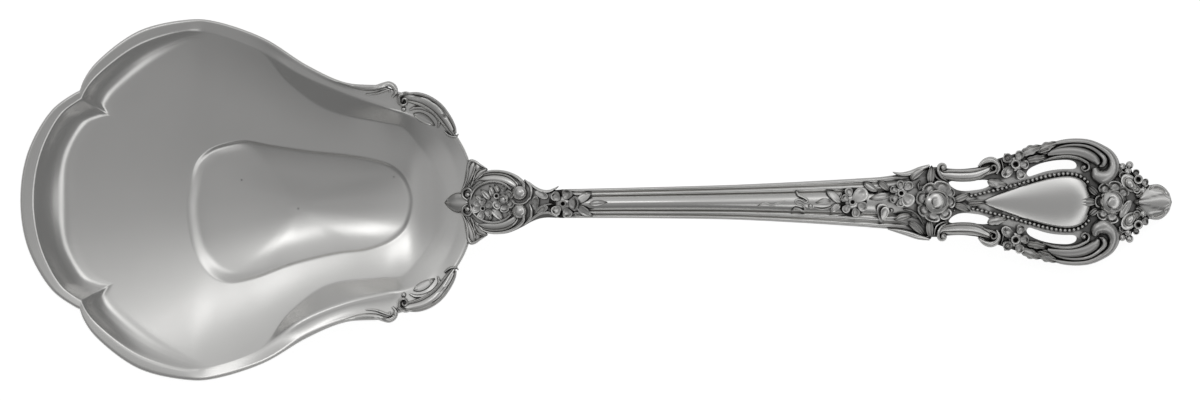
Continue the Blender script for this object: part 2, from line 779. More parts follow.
# %% Handle blank
top_shares = [
    0, 0.1, 0.2, 0.3, 0.38, 0.43, 0.46, 0.48, 0.5, 0.53, 0.57, 0.62, 0.67, 0.71, 0.74, 0.76, 0.78, 0.81, 0.85, 0.9,
    0.94, 0.97, 1,
]
under_shares = [1.0, 0.97, 0.9, 0.75, 0.5, 0.25]
ground_tarnish = table(
    [
        (446, 0.3), (470, 0.4), (510, 0.45), (545, 0.6), (560, 0.5), (580, 0), (870, 0), (905, 0.5), (930, 0.7),
        (1080, 0.8), (1110, 0.75), (1170, 0.65),
    ]
)


def handle_ring(column):
    """Points round the handle's section, anticlockwise from the lower edge."""
    upper, lower = handle_upper(column), handle_lower(column)
    middle, half = (upper + lower) / 2, (lower - upper) / 2
    points = []
    for share in [-value for value in top_shares[:0:-1]] + top_shares:
        at = plan(column, middle - share * half)
        at.z = handle_top(column, middle - share * half)
        points.append(at)
    bottom = thickness(column)
    for share in under_shares + [0] + [-value for value in under_shares[::-1]]:
        at = plan(column, middle - share * half * 0.995)
        at.z = spine_height(column) - bottom * (1 - 0.5 * share**2) - (0.00002 if abs(share) == 1 else 0)
        points.append(at)
    return points


handle_columns = [446, 449, 452, 455, 458, 461, 464, 467, 470, 473]
handle_columns += list(range(476, 600, 4)) + list(range(600, 860, 6)) + list(range(860, 1160, 4))
handle_columns += [1160, 1163, 1166, 1168, 1170]
handle_rings = [handle_ring(column) for column in handle_columns]
handle_tarnish = [[ground_tarnish(column)] * len(handle_rings[0]) for column in handle_columns]
handle_mesh = start_mesh()
loft(handle_mesh, handle_rings, handle_tarnish)
print("handle blank:", len(handle_mesh.verts), "points")

# %% [markdown]
# ## Piercing the handle
#
# Four slots are sawn through the handle's end. A prism stands for the saw's path, and a Boolean takes it out of the
# bar. The wall that it leaves is straight down, as a piercing saw leaves it.

# %% Slots
rear_slot = [
    (948.4, 182.4), (953, 180.8), (962, 180.8), (975, 180.4), (985, 179.9), (989.7, 181.2), (990, 184.5),
    (985, 188), (971.9, 190.4), (962.5, 190.9), (956, 189.6), (950.3, 186),
]
front_slot = [
    (1026.8, 173.4), (1029, 169.3), (1037.5, 164.7), (1046.9, 161.9), (1060, 160), (1071.3, 160.2), (1076.2, 162.4),
    (1077.7, 165.5), (1076.2, 168.2), (1063.8, 169), (1054.4, 169.8), (1045, 171.7), (1035.6, 174.7), (1029, 176.3),
]


def mirrored(points):
    """The same places on the lower side of the spoon."""
    return [(point[0], 2 * axis_row - point[1]) + tuple(point[2:]) for point in points]


saw_start, saw_length = -0.01, 0.04


def pierce(mesh, outlines):
    """Takes prisms over closed outlines out of a mesh."""
    blank = to_scene(mesh, "blank")
    saw_mesh = bmesh.new()
    for outline in outlines:
        curve = spline([plan(*point) for point in outline], 4, closed=True)
        points = [saw_mesh.verts.new((at.x, at.y, saw_start)) for at in curve]
        base = saw_mesh.faces.new(points)
        grown = bmesh.ops.extrude_face_region(saw_mesh, geom=[base])["geom"]
        top = [item for item in grown if isinstance(item, bmesh.types.BMVert)]
        bmesh.ops.translate(saw_mesh, verts=top, vec=(0, 0, saw_length))
    bmesh.ops.recalc_face_normals(saw_mesh, faces=saw_mesh.faces)
    saw = to_scene(saw_mesh, "saw")
    sawing = blank.modifiers.new("sawing", "BOOLEAN")
    sawing.operation = "DIFFERENCE"
    sawing.object = saw
    cut = bpy.data.meshes.new_from_object(blank.evaluated_get(bpy.context.evaluated_depsgraph_get()))
    made = bmesh.new()
    made.from_mesh(cut)
    used = [blank.data, saw.data, cut]
    for done in (blank, saw):
        bpy.data.objects.remove(done)
    for done in used:
        bpy.data.meshes.remove(done)
    return made


bmesh.ops.recalc_face_normals(handle_mesh, faces=handle_mesh.faces)
slots = [rear_slot, front_slot, mirrored(rear_slot), mirrored(front_slot)]
handle_mesh = pierce(handle_mesh, slots)
print("pierced handle:", len(handle_mesh.verts), "points")

# %% [markdown]
# ## The bead line
#
# A row of beads runs round the teardrop. Outside it, a plain rail edges the slots and stays bright, and the channel
# under the beads is black.

# %% Bead line
bead_points = [
    (971, 195.8), (985, 192.6), (1007.5, 187), (1028, 181.3), (1046.9, 176.2), (1063.8, 173.6), (1073, 173.8),
    (1082, 176.4), (1089, 182.2), (1093, 190), (1094.5, 202),
]
bead_line = spline([(column, row, 0) for column, row in bead_points], 12)
bead_line += [Vector((at.x, 2 * axis_row - at.y, 0)) for at in bead_line[-2::-1]]


def from_beads(column, row):
    """Distance of a pixel from the bead line, positive outside it."""
    nearest = min(bead_line, key=lambda at: (at.x - column) ** 2 + (at.y - row) ** 2)
    distance = math.hypot(nearest.x - column, nearest.y - row)
    outside = abs(row - axis_row) > abs(nearest.y - axis_row) or column > nearest.x + 1 or column < bead_points[0][0]
    return distance if outside else -distance


# %% Handle
back_share = 0.6
tarnish_layer = handle_mesh.verts.layers.float["tarnish"]
for point in handle_mesh.verts:
    column = point.co.x / pixel + middle_column
    row = axis_row - point.co.y / pixel
    underside = spine_height(column) - back_share * thickness(column)
    value = 0 if point.co.z < underside else ground_tarnish(column)
    if 955 < column < 1084:
        away = from_beads(column, row)
        value *= 1 - 0.85 * soft_step(1.8, 2.6, away) * (1 - soft_step(7, 9, away))
    point[tarnish_layer] = value
finish(handle_mesh, "spoon_handle", ["handle"], "polished_silver")

# %% [markdown]
# ## Tools for the ornament
#
# The ornament is cast and chased: petals are cupped discs with raised lips, leaves have a raised edge and a midrib,
# scrolls are channelled bars that wind up at their ends, and berries are domes. Each tool below starts from a
# sphere, a grid or a drawn section and presses it on to the surface that carries it. Plan sizes are in pixels of
# the photograph and heights in millimetres. The side is 1 for the upper side of the photograph and -1 for its
# mirror image.

# %% Pressing points on to a surface
sink = 0.6
both_sides = ((1, "right"), (-1, "left"))


def put(point, surface, column, row, height, side):
    """Moves a point over a pixel, at a height over the surface."""
    row = axis_row + side * (row - axis_row)
    point.co = plan(column, row)
    point.co.z = surface(column, row) + height * millimetre


def turned(centre, heading, along, across):
    """A pixel from steps along and across a heading, which is a direction in pixels."""
    size = math.hypot(*heading)
    c, s = heading[0] / size, heading[1] / size
    return centre[0] + along * c - across * s, centre[1] + along * s + across * c


def pressed(mesh, surface, centre, heading, side, sides, rings, shape):
    """A sphere pressed into a shape: from each point's place on it to along, across, height and tarnish."""
    points = bmesh.ops.create_uvsphere(mesh, u_segments=sides, v_segments=rings, radius=1)["verts"]
    layer = mesh.verts.layers.float["tarnish"]
    for point in points:
        x, y, z = point.co
        along, across, height, tarnish = shape(x, y, z, min(math.hypot(x, y), 1))
        put(point, surface, *turned(centre, heading, along, across), height, side)
        point[layer] = tarnish


# %% Petal
def petal(mesh, surface, centre, heading, length, width, rise, side=1, lift=0, cup=0.55, tilt=0.15, narrow=0.35):
    """A cupped petal that points along its heading, with a raised lip."""

    def shape(x, y, z, r):
        along = x * length
        across = y * width * (1 - narrow * (0.5 - 0.5 * x))
        if z < -0.05:
            return along * 0.9, across * 0.9, -sink, 1
        lip = soft_step(0.42, 0.86, r) * (0.25 + 0.75 * soft_step(-0.6, 0.3, x))
        height = lift + rise * (1 - cup + cup * lip + tilt * x)
        if r > 0.98:
            height -= 0.42 * rise
        hollow = 0.35 * (1 - soft_step(0.3, 0.8, r)) + 0.65 * soft_step(0.2, -0.8, x)
        return along, across, height, 0.85 if r > 0.98 else hollow * cup

    pressed(mesh, surface, centre, heading, side, 16, 12, shape)


# %% Berry, eye and boss
def berry(
    mesh, surface, centre, radius, rise, side=1, lift=0, stretch=1, heading=(1, 0), sides=14, rings=10, dull=0
):
    """A smooth dome."""

    def shape(x, y, z, r):
        if z < -0.05:
            return x * radius * stretch * 0.9, y * radius * 0.9, -sink, 1
        tarnish = max(0.8 * soft_step(0.9, 1, r), dull)
        return x * radius * stretch, y * radius, lift + rise * (0.15 + 0.85 * z), tarnish

    pressed(mesh, surface, centre, heading, side, sides, rings, shape)


def eye(mesh, surface, centre, radius, rise, side=1, lift=0, pit=0.42):
    """The middle of a blossom: a ring round a dark pit."""

    def shape(x, y, z, r):
        if z < -0.05:
            return x * radius * 0.9, y * radius * 0.9, -sink, 1
        ring = soft_step(pit * 0.6, pit + 0.3, r)
        height = lift + rise * (0.35 + 0.65 * ring * (1 - 0.35 * soft_step(0.9, 1, r)))
        return x * radius, y * radius, height, max(1 - soft_step(pit * 0.7, pit + 0.12, r), soft_step(0.94, 1, r))

    pressed(mesh, surface, centre, (1, 0), side, 16, 14, shape)


# %% Leaf
leaf_rows = [(-1, 0.45), (-0.84, 1), (-0.42, 0.68), (0, 0.92), (0.42, 0.68), (0.84, 1), (1, 0.45)]


def doubled_grid(mesh, along, across):
    """A flat closed body from two grids: its lower points as a list and its upper ones as a set."""
    lower = bmesh.ops.create_grid(mesh, x_segments=along, y_segments=across, size=1)["verts"]
    faces = {face for point in lower for face in point.link_faces}
    grown = bmesh.ops.extrude_face_region(mesh, geom=list(faces))["geom"]
    return list(lower), {item for item in grown if isinstance(item, bmesh.types.BMVert)}


def leaf(mesh, surface, start, tip, width, rise, side=1, lift=0, bend=0, lobes=0, hollow=0.3):
    """A leaf from its start to its tip, with a raised edge and a midrib."""
    lower, upper = doubled_grid(mesh, 14 if lobes else 10, 6)
    layer = mesh.verts.layers.float["tarnish"]
    heading = (tip[0] - start[0], tip[1] - start[1])
    length = math.hypot(*heading)
    for point in lower + list(upper):
        t = (point.co.x + 1) / 2
        across, level = leaf_rows[round((point.co.y + 1) * 3)]
        outline = max(math.sin(math.pi * min(t, 1) ** 0.8), 0) ** 0.75
        if lobes:
            outline *= 0.74 + 0.26 * abs(math.sin(lobes * math.pi * t))
        half = width / 2 * max(outline, 0.06)
        away = across * half + bend * 4 * t * (1 - t)
        place = turned(start, heading, t * length, away)
        if point in upper:
            fade = 0.55 + 0.45 * math.sin(math.pi * min(max(t, 0.05), 0.95)) ** 0.5
            put(point, surface, *place, lift + rise * level * fade, side)
            point[layer] = 0.85 if abs(across) == 1 else hollow * (1 - level) * 2
        else:
            put(point, surface, *place, -sink, side)
            point[layer] = 1


# %% Drawn bars and scrolls
round_section = [
    (-1, -1, 1), (-1, 0.2, 0.7), (-0.86, 0.6, 0.1), (-0.5, 0.92, 0), (0, 1, 0), (0.5, 0.92, 0), (0.86, 0.6, 0.1),
    (1, 0.2, 0.7), (1, -1, 1), (0, -1, 1),
]
channel_section = [
    (-1, -1, 1), (-1, 0.45, 0.7), (-0.9, 0.9, 0.05), (-0.76, 1, 0), (-0.6, 0.82, 0.1), (-0.5, 0.5, 0.45),
    (-0.25, 0.56, 0.05), (0, 0.6, 0), (0.25, 0.56, 0.05), (0.5, 0.5, 0.45), (0.6, 0.82, 0.1), (0.76, 1, 0),
    (0.9, 0.9, 0.05), (1, 0.45, 0.7), (1, -1, 1), (0, -1, 1),
]
step_section = [
    (-1, -1, 1), (-1, 0.5, 0.7), (-0.9, 0.92, 0.05), (-0.74, 1, 0), (-0.58, 0.8, 0.15), (-0.48, 0.42, 0.6),
    (-0.38, 0.5, 0.1), (0, 0.62, 0), (0.4, 0.66, 0), (0.75, 0.6, 0), (0.92, 0.45, 0.1), (1, 0.1, 0.8), (1, -1, 1),
    (0, -1, 1),
]


def bar(mesh, surface, points, rise, section=round_section, side=1, lift=0, steps=5, dull=0):
    """A bar along points in pixels, each with its half width as a third number."""
    path = spline(points, steps)
    widest = max(at.z for at in path)
    rings, tarnishes = [], []
    helper = bmesh.new()
    probe = helper.verts.new()
    for i, at in enumerate(path):
        before, after = path[max(i - 1, 0)], path[min(i + 1, len(path) - 1)]
        heading = (after.x - before.x, after.y - before.y)
        half = max(at.z, 0.15)
        swell = min(1, 0.35 + 0.65 * half / widest)
        ring = []
        for across, level, _ in section:
            height = -sink if level < 0 else lift + rise * level * swell
            put(probe, surface, *turned(at, heading, 0, across * half), height, side)
            ring.append(probe.co.copy())
        rings.append(ring)
        tarnishes.append([max(row[2], dull) for row in section])
    helper.free()
    loft(mesh, rings, tarnishes)


def bars(mesh, surface, rows, side=1):
    """Several round bars, each as its rise and its points."""
    for rise, points in rows:
        bar(mesh, surface, points, rise, side=side)


def volute(centre, radius, start, turns, width, count=9):
    """Points that wind in to a centre, from an angle in degrees that grows clockwise in the photograph."""
    points = []
    for i in range(count):
        share = i / (count - 1)
        angle = math.radians(start + turns * 360 * share)
        reach = radius * (1 - 0.7 * share)
        points.append(
            (centre[0] + reach * math.cos(angle), centre[1] + reach * math.sin(angle), width * (1 - 0.45 * share))
        )
    return points


# %% Blossoms and roses
def blossom(mesh, surface, centre, petals, eye_radius, rise, side=1, lift=0, cup=0.55, shadow=0):
    """An open blossom, from petals as (column, row, half length, half width), round an eye."""
    reach = sum(math.hypot(row[0] - centre[0], row[1] - centre[1]) for row in petals) / len(petals)
    berry(mesh, surface, centre, reach * 0.8, rise * 0.4, side, lift)
    if shadow:
        berry(mesh, surface, centre, reach + shadow, 0.16, side, lift, sides=24, dull=0.95)
    for column, row, length, width in petals:
        heading = (column - centre[0], row - centre[1])
        petal(mesh, surface, (column, row), heading, length * 1.15, width * 1.3, rise, side, lift, cup, narrow=0.5)
    eye(mesh, surface, centre, eye_radius, rise * 1.45, side, lift)


def rose(mesh, surface, centre, radius, petals, rise, side=1, twist=20):
    """A rose: scalloped outer petals, and a full bud with two petals wrapped round it."""
    berry(mesh, surface, centre, radius * 1.2, rise * 0.4, side)
    for column, row, length, width in petals:
        heading = (column - centre[0], row - centre[1])
        petal(mesh, surface, (column, row), heading, length * 1.2, width * 1.2, rise * 0.66, side, 0, 0.65, 0.2, 0.3)
    turn = math.radians(twist)

    def shape(x, y, z, r):
        if z < -0.05:
            return x * radius * 0.8, y * radius * 0.8, -sink, 1
        height, tarnish = rise * (0.5 + 0.8 * z), soft_step(0.95, 1, r)
        for outer, inner, start in ((0.86, 0.62, 0.5), (0.62, 0.22, 0)):
            spin = ((math.atan2(y, x) - turn) / (2 * math.pi) + start) % 1
            curl = outer + (inner - outer) * spin
            window = soft_step(0, 0.06, spin) * (1 - soft_step(0.5, 0.72, spin))
            groove = (1 - soft_step(0.02, 0.09, abs(r - curl))) * window
            height += 0.16 * window * soft_step(0.25, 0, r - curl) * soft_step(0, 0.02, r - curl) - 0.2 * groove
            tarnish = max(tarnish, 0.8 * groove)
        return x * radius, y * radius, height, tarnish

    pressed(mesh, surface, centre, (1, 0), side, 44, 28, shape)


print("tools ready")

# %% [markdown]
# ## Rose cluster
#
# Where the stem widens into the shoulder, a large rose, an open blossom and a bud lie among leaves that reach both
# edges. The relief is high here, about a millimetre and a half.

# %% Rose cluster
work = start_mesh()
bars(
    work, stem_cushion,
    [
        (0.8, [(892, 172.3, 0.6), (900, 174.5, 2), (910, 173.5, 3), (920, 169.5, 3), (929, 165.5, 1.2)]),
        (0.8, [(887, 229, 0.6), (896, 230.5, 2), (907, 233, 3), (918, 236.5, 3), (929, 239, 1.5)]),
        (0.8, [(919, 190, 0.7), (917.5, 185, 1), (919.5, 180.5, 0.6)]),
        (0.9, [(903, 209.4, 0.9), (911, 211, 1.3), (918, 216.5, 1.3), (923, 225, 0.7)]),
        (0.9, [(933.5, 170.5, 0.8), (935.5, 177, 1.2), (941, 181, 1.3), (947, 181.8, 0.8)]),
        (0.9, [(933.5, 235, 0.8), (935.5, 227, 1.2), (941, 222.5, 1.3), (947, 221.5, 0.8)]),
    ],
)
for start, tip, width, rise, bend in (
    ((863, 183), (877.5, 191.5), 7.5, 0.6, 0.5),
    ((878, 180.8), (889.5, 190.8), 7, 0.75, 0.5),
    ((889, 195.3), (868.5, 198.3), 7.5, 0.65, 0.3),
    ((909.5, 180), (925, 168.5), 8, 1.0, -1.2),
    ((929.6, 183.5), (931, 165.5), 8.5, 1.0, 0),
    ((893.5, 220), (911.5, 215), 7.5, 0.9, -0.8),
    ((908, 221.5), (923.5, 235.5), 8.5, 1.0, -1),
    ((928.5, 220.5), (929.5, 239), 8.5, 1.0, 0),
    ((967.5, 201), (952.5, 199.8), 2, 0.5, 0),
    ((953, 200.4), (969.8, 193), 7.5, 0.9, 0.8),
    ((953, 204.4), (970, 211.5), 7.5, 0.9, -0.8),
    ((966, 203.3), (987, 202), 7, 1.1, 0),
):
    leaf(work, stem_cushion, start, tip, width, rise, bend=bend)
petal(work, stem_cushion, (881, 213), (0.1, -1), 10, 8, 0.9, cup=0.45, narrow=0.75)
petal(work, stem_cushion, (883.5, 213.5), (0.25, -1), 7, 5.2, 1.15, cup=0.1, narrow=0.5)
berry(work, stem_cushion, (890.8, 210.4), 2.2, 0.8)
blossom(
    work, stem_cushion, (900.3, 193.3),
    [
        (899.5, 185, 4, 3.8), (907.5, 186.2, 4.6, 4.4), (906.5, 199.5, 6.5, 7), (893.2, 190, 3.8, 3.6),
        (893.3, 198.3, 4.2, 4), (899.5, 203, 3.8, 4),
    ],
    3.7, 1.0,
)
rose(
    work, stem_cushion, (936.5, 201.9), 12.2,
    [
        (941.5, 187.5, 5.5, 9), (928.5, 189, 5, 7), (920.5, 198, 4.5, 7), (923, 210, 5, 6.5), (932, 216.5, 4.5, 8),
        (944.5, 213.5, 5, 6.5), (950, 202, 4, 6), (949.5, 192.5, 4, 5),
    ],
    1.45,
)
for column, row in ((945, 183.6), (947.6, 187), (950.8, 190.6), (953.9, 193.6)):
    for side in (1, -1):
        berry(work, stem_cushion, (column, row), 1.35, 0.55, side, sides=8, rings=6)
finish(work, "rose_and_leaves", ["rose_cluster"], "relief_silver")

# %% [markdown]
# ## Ribbon spray
#
# A tied ribbon with a streamer, three leaves and a blossom lie flat on the stem's field. The relief is low, about
# half a millimetre, and stays inside the reeds.

# %% Ribbon spray
work = start_mesh()
bar(
    work, stem_cushion,
    [(757, 206.5, 0.4), (764, 203.2, 1), (770.5, 205.3, 1), (776, 203.5, 1), (784, 200.5, 0.5)],
    0.45,
)
bar(
    work, stem_cushion,
    [
        (795.5, 191.5, 0.8), (797.8, 195, 1.2), (803, 197.6, 1.3), (806.8, 200.8, 1.3), (804.5, 202.6, 1.1),
        (799.5, 199.8, 1.2), (795, 200.2, 1.2), (795.5, 203.8, 1.1), (800, 204.8, 1), (804, 208.5, 1.3),
        (802.5, 211, 1.2), (797.5, 208.8, 1.2), (794, 208.3, 1), (791, 211.7, 0.6),
    ],
    0.55, steps=4,
)
berry(work, stem_cushion, (809.6, 206.4), 2.5, 0.6)
for start, tip, width, bend in (
    ((830, 201.5), (814.5, 203), 6.5, 1),
    ((839.5, 203), (825.5, 190.5), 8.5, 0.5),
    ((839, 204.5), (829.5, 212.5), 8, 0.8),
):
    leaf(work, stem_cushion, start, tip, width, 0.55, bend=bend)
bars(
    work, stem_cushion,
    [
        (0.45, [(813.5, 207.5, 0.4), (820, 209.4, 0.8), (828, 208, 0.7), (838, 202.5, 0.6)]),
        (0.45, [(833, 200.5, 0.5), (839, 198, 0.8), (840.5, 193, 0.6)]),
    ],
)
blossom(
    work, stem_cushion, (851.4, 202),
    [
        (848, 192.3, 4, 4), (858.5, 196, 8.2, 7.2), (844.3, 198.6, 3.6, 3.8), (845.6, 208.3, 4.2, 4),
        (854.6, 212.4, 4.2, 4.2), (861, 206.5, 4.5, 5),
    ],
    3.8, 0.9, shadow=5,
)
finish(work, "ribbon_and_blossom", ["ribbon_spray"], "relief_silver")

# %% [markdown]
# ## Neck blossom
#
# A five-petalled blossom covers the place where the cartouche meets the reeds, with three leaves on the field.

# %% Neck blossom
work = start_mesh()
blossom(
    work, stem_cushion, (563, 203.6),
    [
        (566.8, 194.6, 4.6, 5.4), (556, 196.8, 4.6, 4.8), (556.6, 210.2, 4.6, 5), (567.2, 212.8, 4.4, 5),
        (573.2, 203.6, 4.8, 7.4),
    ],
    3.4, 1.35, cup=0.5, shadow=4.5,
)
for start, tip, width, bend in (
    ((576.5, 203), (591.5, 192.8), 8.5, -0.6),
    ((577, 206), (592.5, 216), 8.5, 0.6),
    ((589, 203.8), (607, 202), 6.5, 0),
):
    leaf(work, stem_cushion, start, tip, width, 0.55, bend=bend)
finish(work, "neck_flower", ["neck_blossom"], "relief_silver")

# %% [markdown]
# ## Heel cartouche
#
# An oval plaque sits where the handle leaves the bowl. Two pairs of C-scrolls frame it and hook round two round
# bosses, a pointed leaf lies on the bowl's floor, and ears of leaf stand out on both sides. The bowl falls away under
# this piece, so it reaches deeper below its surface than the rest.

# %% Heel cartouche
plain_sink, sink = sink, 1.5
work = start_mesh()
for side in (1, -1):
    bar(
        work, handle_top,
        [
            (476, 179, 1), (484, 177.6, 3.6), (494, 176.8, 4.4), (504, 178.2, 4.8), (511, 181.6, 4.4),
            (516, 186.5, 2.8), (516, 190, 1.2),
        ],
        0.85, step_section, side,
    )
    hooks = [
        (1.25, [
            (477.5, 178.4, 0.6), (481, 174.8, 1.1), (487, 172.2, 1.3), (495, 171.2, 1.4), (505, 172.2, 1.5),
            (513.5, 175.2, 1.6), (520, 179.6, 1.9), (523.8, 184.8, 2.1), (523, 189.5, 1.8), (519.6, 187.6, 1.1),
        ]),
        (1.05, [
            (470.5, 199.5, 0.6), (471.6, 194.5, 1.1), (475, 188.8, 1.4), (481, 184.4, 1.5), (489, 181.9, 1.5),
            (497.5, 182, 1.5), (505, 184.6, 1.4), (511, 189.5, 1.1),
        ]),
        (0.85, [
            (467.6, 200.3, 1), (462.6, 196.4, 1.5), (463, 190.8, 1.5), (468, 188.3, 1.4), (471.5, 191.5, 1.1),
            (470, 195, 0.9),
        ]),
    ]
    bars(work, handle_top, hooks, side)
    berry(work, handle_top, (467.3, 194.8), 2.8, 0.8, side)
    ear_grounds = [
        (0.4, [(464, 190, 1.5), (470, 181, 5.5), (474, 172.5, 7.2), (475.5, 166.5, 7), (477, 162.5, 3)]),
        (0.42, [(471, 182, 3), (478, 175.5, 5), (483, 171.2, 4.2), (486.5, 168.8, 1.5)]),
    ]
    bars(work, handle_top, ear_grounds, side)
    for rise, points in (
        (0.85, [(462.5, 190.5, 1.2), (466.8, 182, 2.8), (469.8, 173, 4.3), (472, 166, 4.2), (474, 161.5, 1.6)]),
        (0.95, [(470.5, 186.5, 1), (474, 179, 3), (479, 173.4, 4), (484.5, 170.2, 2.4), (487.6, 169, 0.8)]),
    ):
        bar(work, handle_top, points, rise, channel_section, side)
    ear_edges = [
        (0.95, [
            (461.3, 191.5, 0.6), (465.3, 183, 1.1), (467.8, 172.5, 1.3), (468, 165.5, 1.5), (470.6, 161, 1.6),
            (474.5, 161.4, 1.5), (480, 165, 1.3), (486.5, 168.6, 0.6),
        ]),
        (1.1, [(473, 181, 0.6), (475.2, 174, 1), (478.6, 169.2, 0.8), (481.5, 166.8, 0.5)]),
    ]
    bars(work, handle_top, ear_edges, side)
    berry(work, handle_top, (519.4, 192.6), 7.9, 1.75, side, sides=20, rings=14)
    boss_edges = [
        (1.0, [(524.5, 179.6, 0.8), (530.3, 186, 1.7), (531.6, 193, 1.7), (529.6, 199.5, 0.9)]),
        (0.75, [
            (528.5, 182, 0.8), (534.5, 187.2, 1.4), (541.5, 190.8, 1.6), (549, 191.4, 1.5), (554.6, 189, 1.1),
            (558.6, 186.4, 0.5),
        ]),
    ]
    bars(work, handle_top, boss_edges, side)
    petal(work, handle_top, (541.5, 194.6), (0.9, 0.42), 7.2, 4, 0.85, side, narrow=0.2)
bar(
    work, handle_top,
    [(511, 199.8, 0.8), (514.5, 203.2, 1.3), (520, 204.2, 1.5), (526, 202.2, 1.3), (529.6, 197.5, 0.8)],
    0.95,
)
petal(work, handle_top, (535.6, 203), (0.05, -1), 7.6, 3.6, 0.95, cup=0.8, narrow=0.1)
bar(work, handle_top, [(535.5, 213.5, 0.6), (539, 208.6, 1.2), (545, 205, 1.4), (553, 204, 0.8)], 0.85)
leaf(work, handle_top, (468, 202.7), (444.5, 202.7), 20, 0.7, hollow=0.6)
sink = plain_sink
finish(work, "heel_scrolls", ["heel_cartouche"], "relief_silver")

# %% [markdown]
# ## Spray in the oval
#
# Inside the oval lie an open rose, a small blossom and a few leaves, in low relief.

# %% Cartouche spray
work = start_mesh()
rose(
    work, handle_top, (503.2, 199.8), 5.2,
    [(508.8, 195, 3.6, 4.6), (510.4, 203.5, 3.6, 4.6), (504.6, 208.6, 3.2, 4.6), (497, 205, 3.2, 4.4)],
    0.95, twist=200,
)
eye(work, handle_top, (496.6, 196), 3.2, 0.75)
petal(work, handle_top, (503.6, 188.4), (0.3, -1), 4, 3.6, 0.75, cup=0.8)
blossom(
    work, handle_top, (482.8, 208.5),
    [
        (482.4, 202.4, 3.8, 3.6), (488.8, 205.2, 3.8, 3.6), (488, 212.4, 3.8, 3.6), (481.2, 215, 3.8, 3.6),
        (476.4, 209.4, 3.8, 3.6), (477.2, 203.8, 3.4, 3.2),
    ],
    2.8, 0.6,
)
for start, tip, width, bend in (
    ((492, 209), (502.8, 220.5), 8.5, -0.6), ((490, 199.5), (480.5, 189.5), 6.5, 0.6),
    ((492.8, 197), (489.6, 185.6), 6, 0.5), ((482.5, 200.6), (475, 195), 5.5, 0),
    ((499, 192.5), (494.5, 184.6), 5, 0), ((491.5, 214), (488.5, 221.6), 4.5, 0),
    ((511.5, 209.8), (507.5, 219.5), 5, 0),
):
    leaf(work, handle_top, start, tip, width, 0.6, bend=bend)
finish(work, "oval_spray", ["cartouche_spray"], "relief_silver")

# %% [markdown]
# ## Scrolls along the bowl's shoulder
#
# The bowl's rim rolls up into a curl, then a broad C-scroll with a channelled face runs on towards the heel, with a
# leaf inside it. They lie on the bowl, whose finished surface is found by a ray from above.

# %% Shoulder scrolls
bowl_tree = BVHTree.FromObject(bowl, bpy.context.evaluated_depsgraph_get())
ray_start = 0.03
lowest_hold = 0.0048


def bowl_top(column, row):
    """Height of the bowl's upper side under a pixel, or of the nearest place on it."""
    above = plan(column, row) + Vector((0, 0, ray_start))
    hit = bowl_tree.ray_cast(above, Vector((0, 0, -1)))[0]
    if hit is None:
        hit = bowl_tree.find_nearest(Vector((above.x, above.y, rim_height(column))))[0]
    return max(hit.z, rim_height(column) - lowest_hold)


for side, name in both_sides:
    work = start_mesh()
    bar(
        work, bowl_top,
        [
            (338, 81.5, 0.8), (352, 86, 1.8), (364, 88.3, 2.4), (376, 87.8, 2.8), (384, 85.3, 2.8), (389.5, 84, 2.6),
            (394.5, 87.3, 2.6), (396, 93, 2), (392.5, 97.5, 1.2),
        ],
        0.75, side=side,
    )
    bar(
        work, bowl_top,
        [(366, 94.5, 0.6), (376, 94, 1.2), (384, 91.2, 1.4), (389.5, 89.8, 1.2), (390, 93, 0.8)],
        0.6, side=side,
    )
    bar(
        work, bowl_top,
        [
            (401.5, 103.5, 1.2), (404.5, 98.5, 3.6), (413, 98, 6), (424, 100.8, 7), (436, 108.4, 7.2),
            (445.2, 119, 6.4), (451.4, 128.8, 5), (454.2, 134.3, 2.8),
        ],
        1.1, channel_section, side,
    )
    bar(
        work, bowl_top,
        [(412, 94, 1), (405, 93.2, 1.8), (399.3, 96.8, 2)] + volute((404, 101.2), 5.2, 200, -1.05, 1.9),
        1.35, side=side,
    )
    berry(work, bowl_top, (404, 109.4), 2.6, 0.7, side)
    bar(
        work, bowl_top,
        [(409.5, 110.6, 0.8), (416, 108, 1.7), (425, 109, 1.9), (434, 114, 1.9), (439, 121.5, 1.7), (437.5, 128, 0.9)],
        0.75, side=side,
    )
    leaf(work, bowl_top, (413.5, 114), (434.5, 126), 8.5, 0.55, side, bend=-1)
    bar(
        work, bowl_top,
        [(444, 131.5, 0.7), (449, 135.6, 1.3), (455.5, 136.8, 1.2), (458.5, 134, 0.6)],
        0.7, side=side,
    )
    finish(work, "shoulder_scrolls_" + name, ["shoulder_scroll_" + name], "relief_silver")

# %% [markdown]
# ## Scrolls behind the rear slots
#
# A channelled bar bridges the shoulder and the blossom on each side. Its ends wind up into volutes.

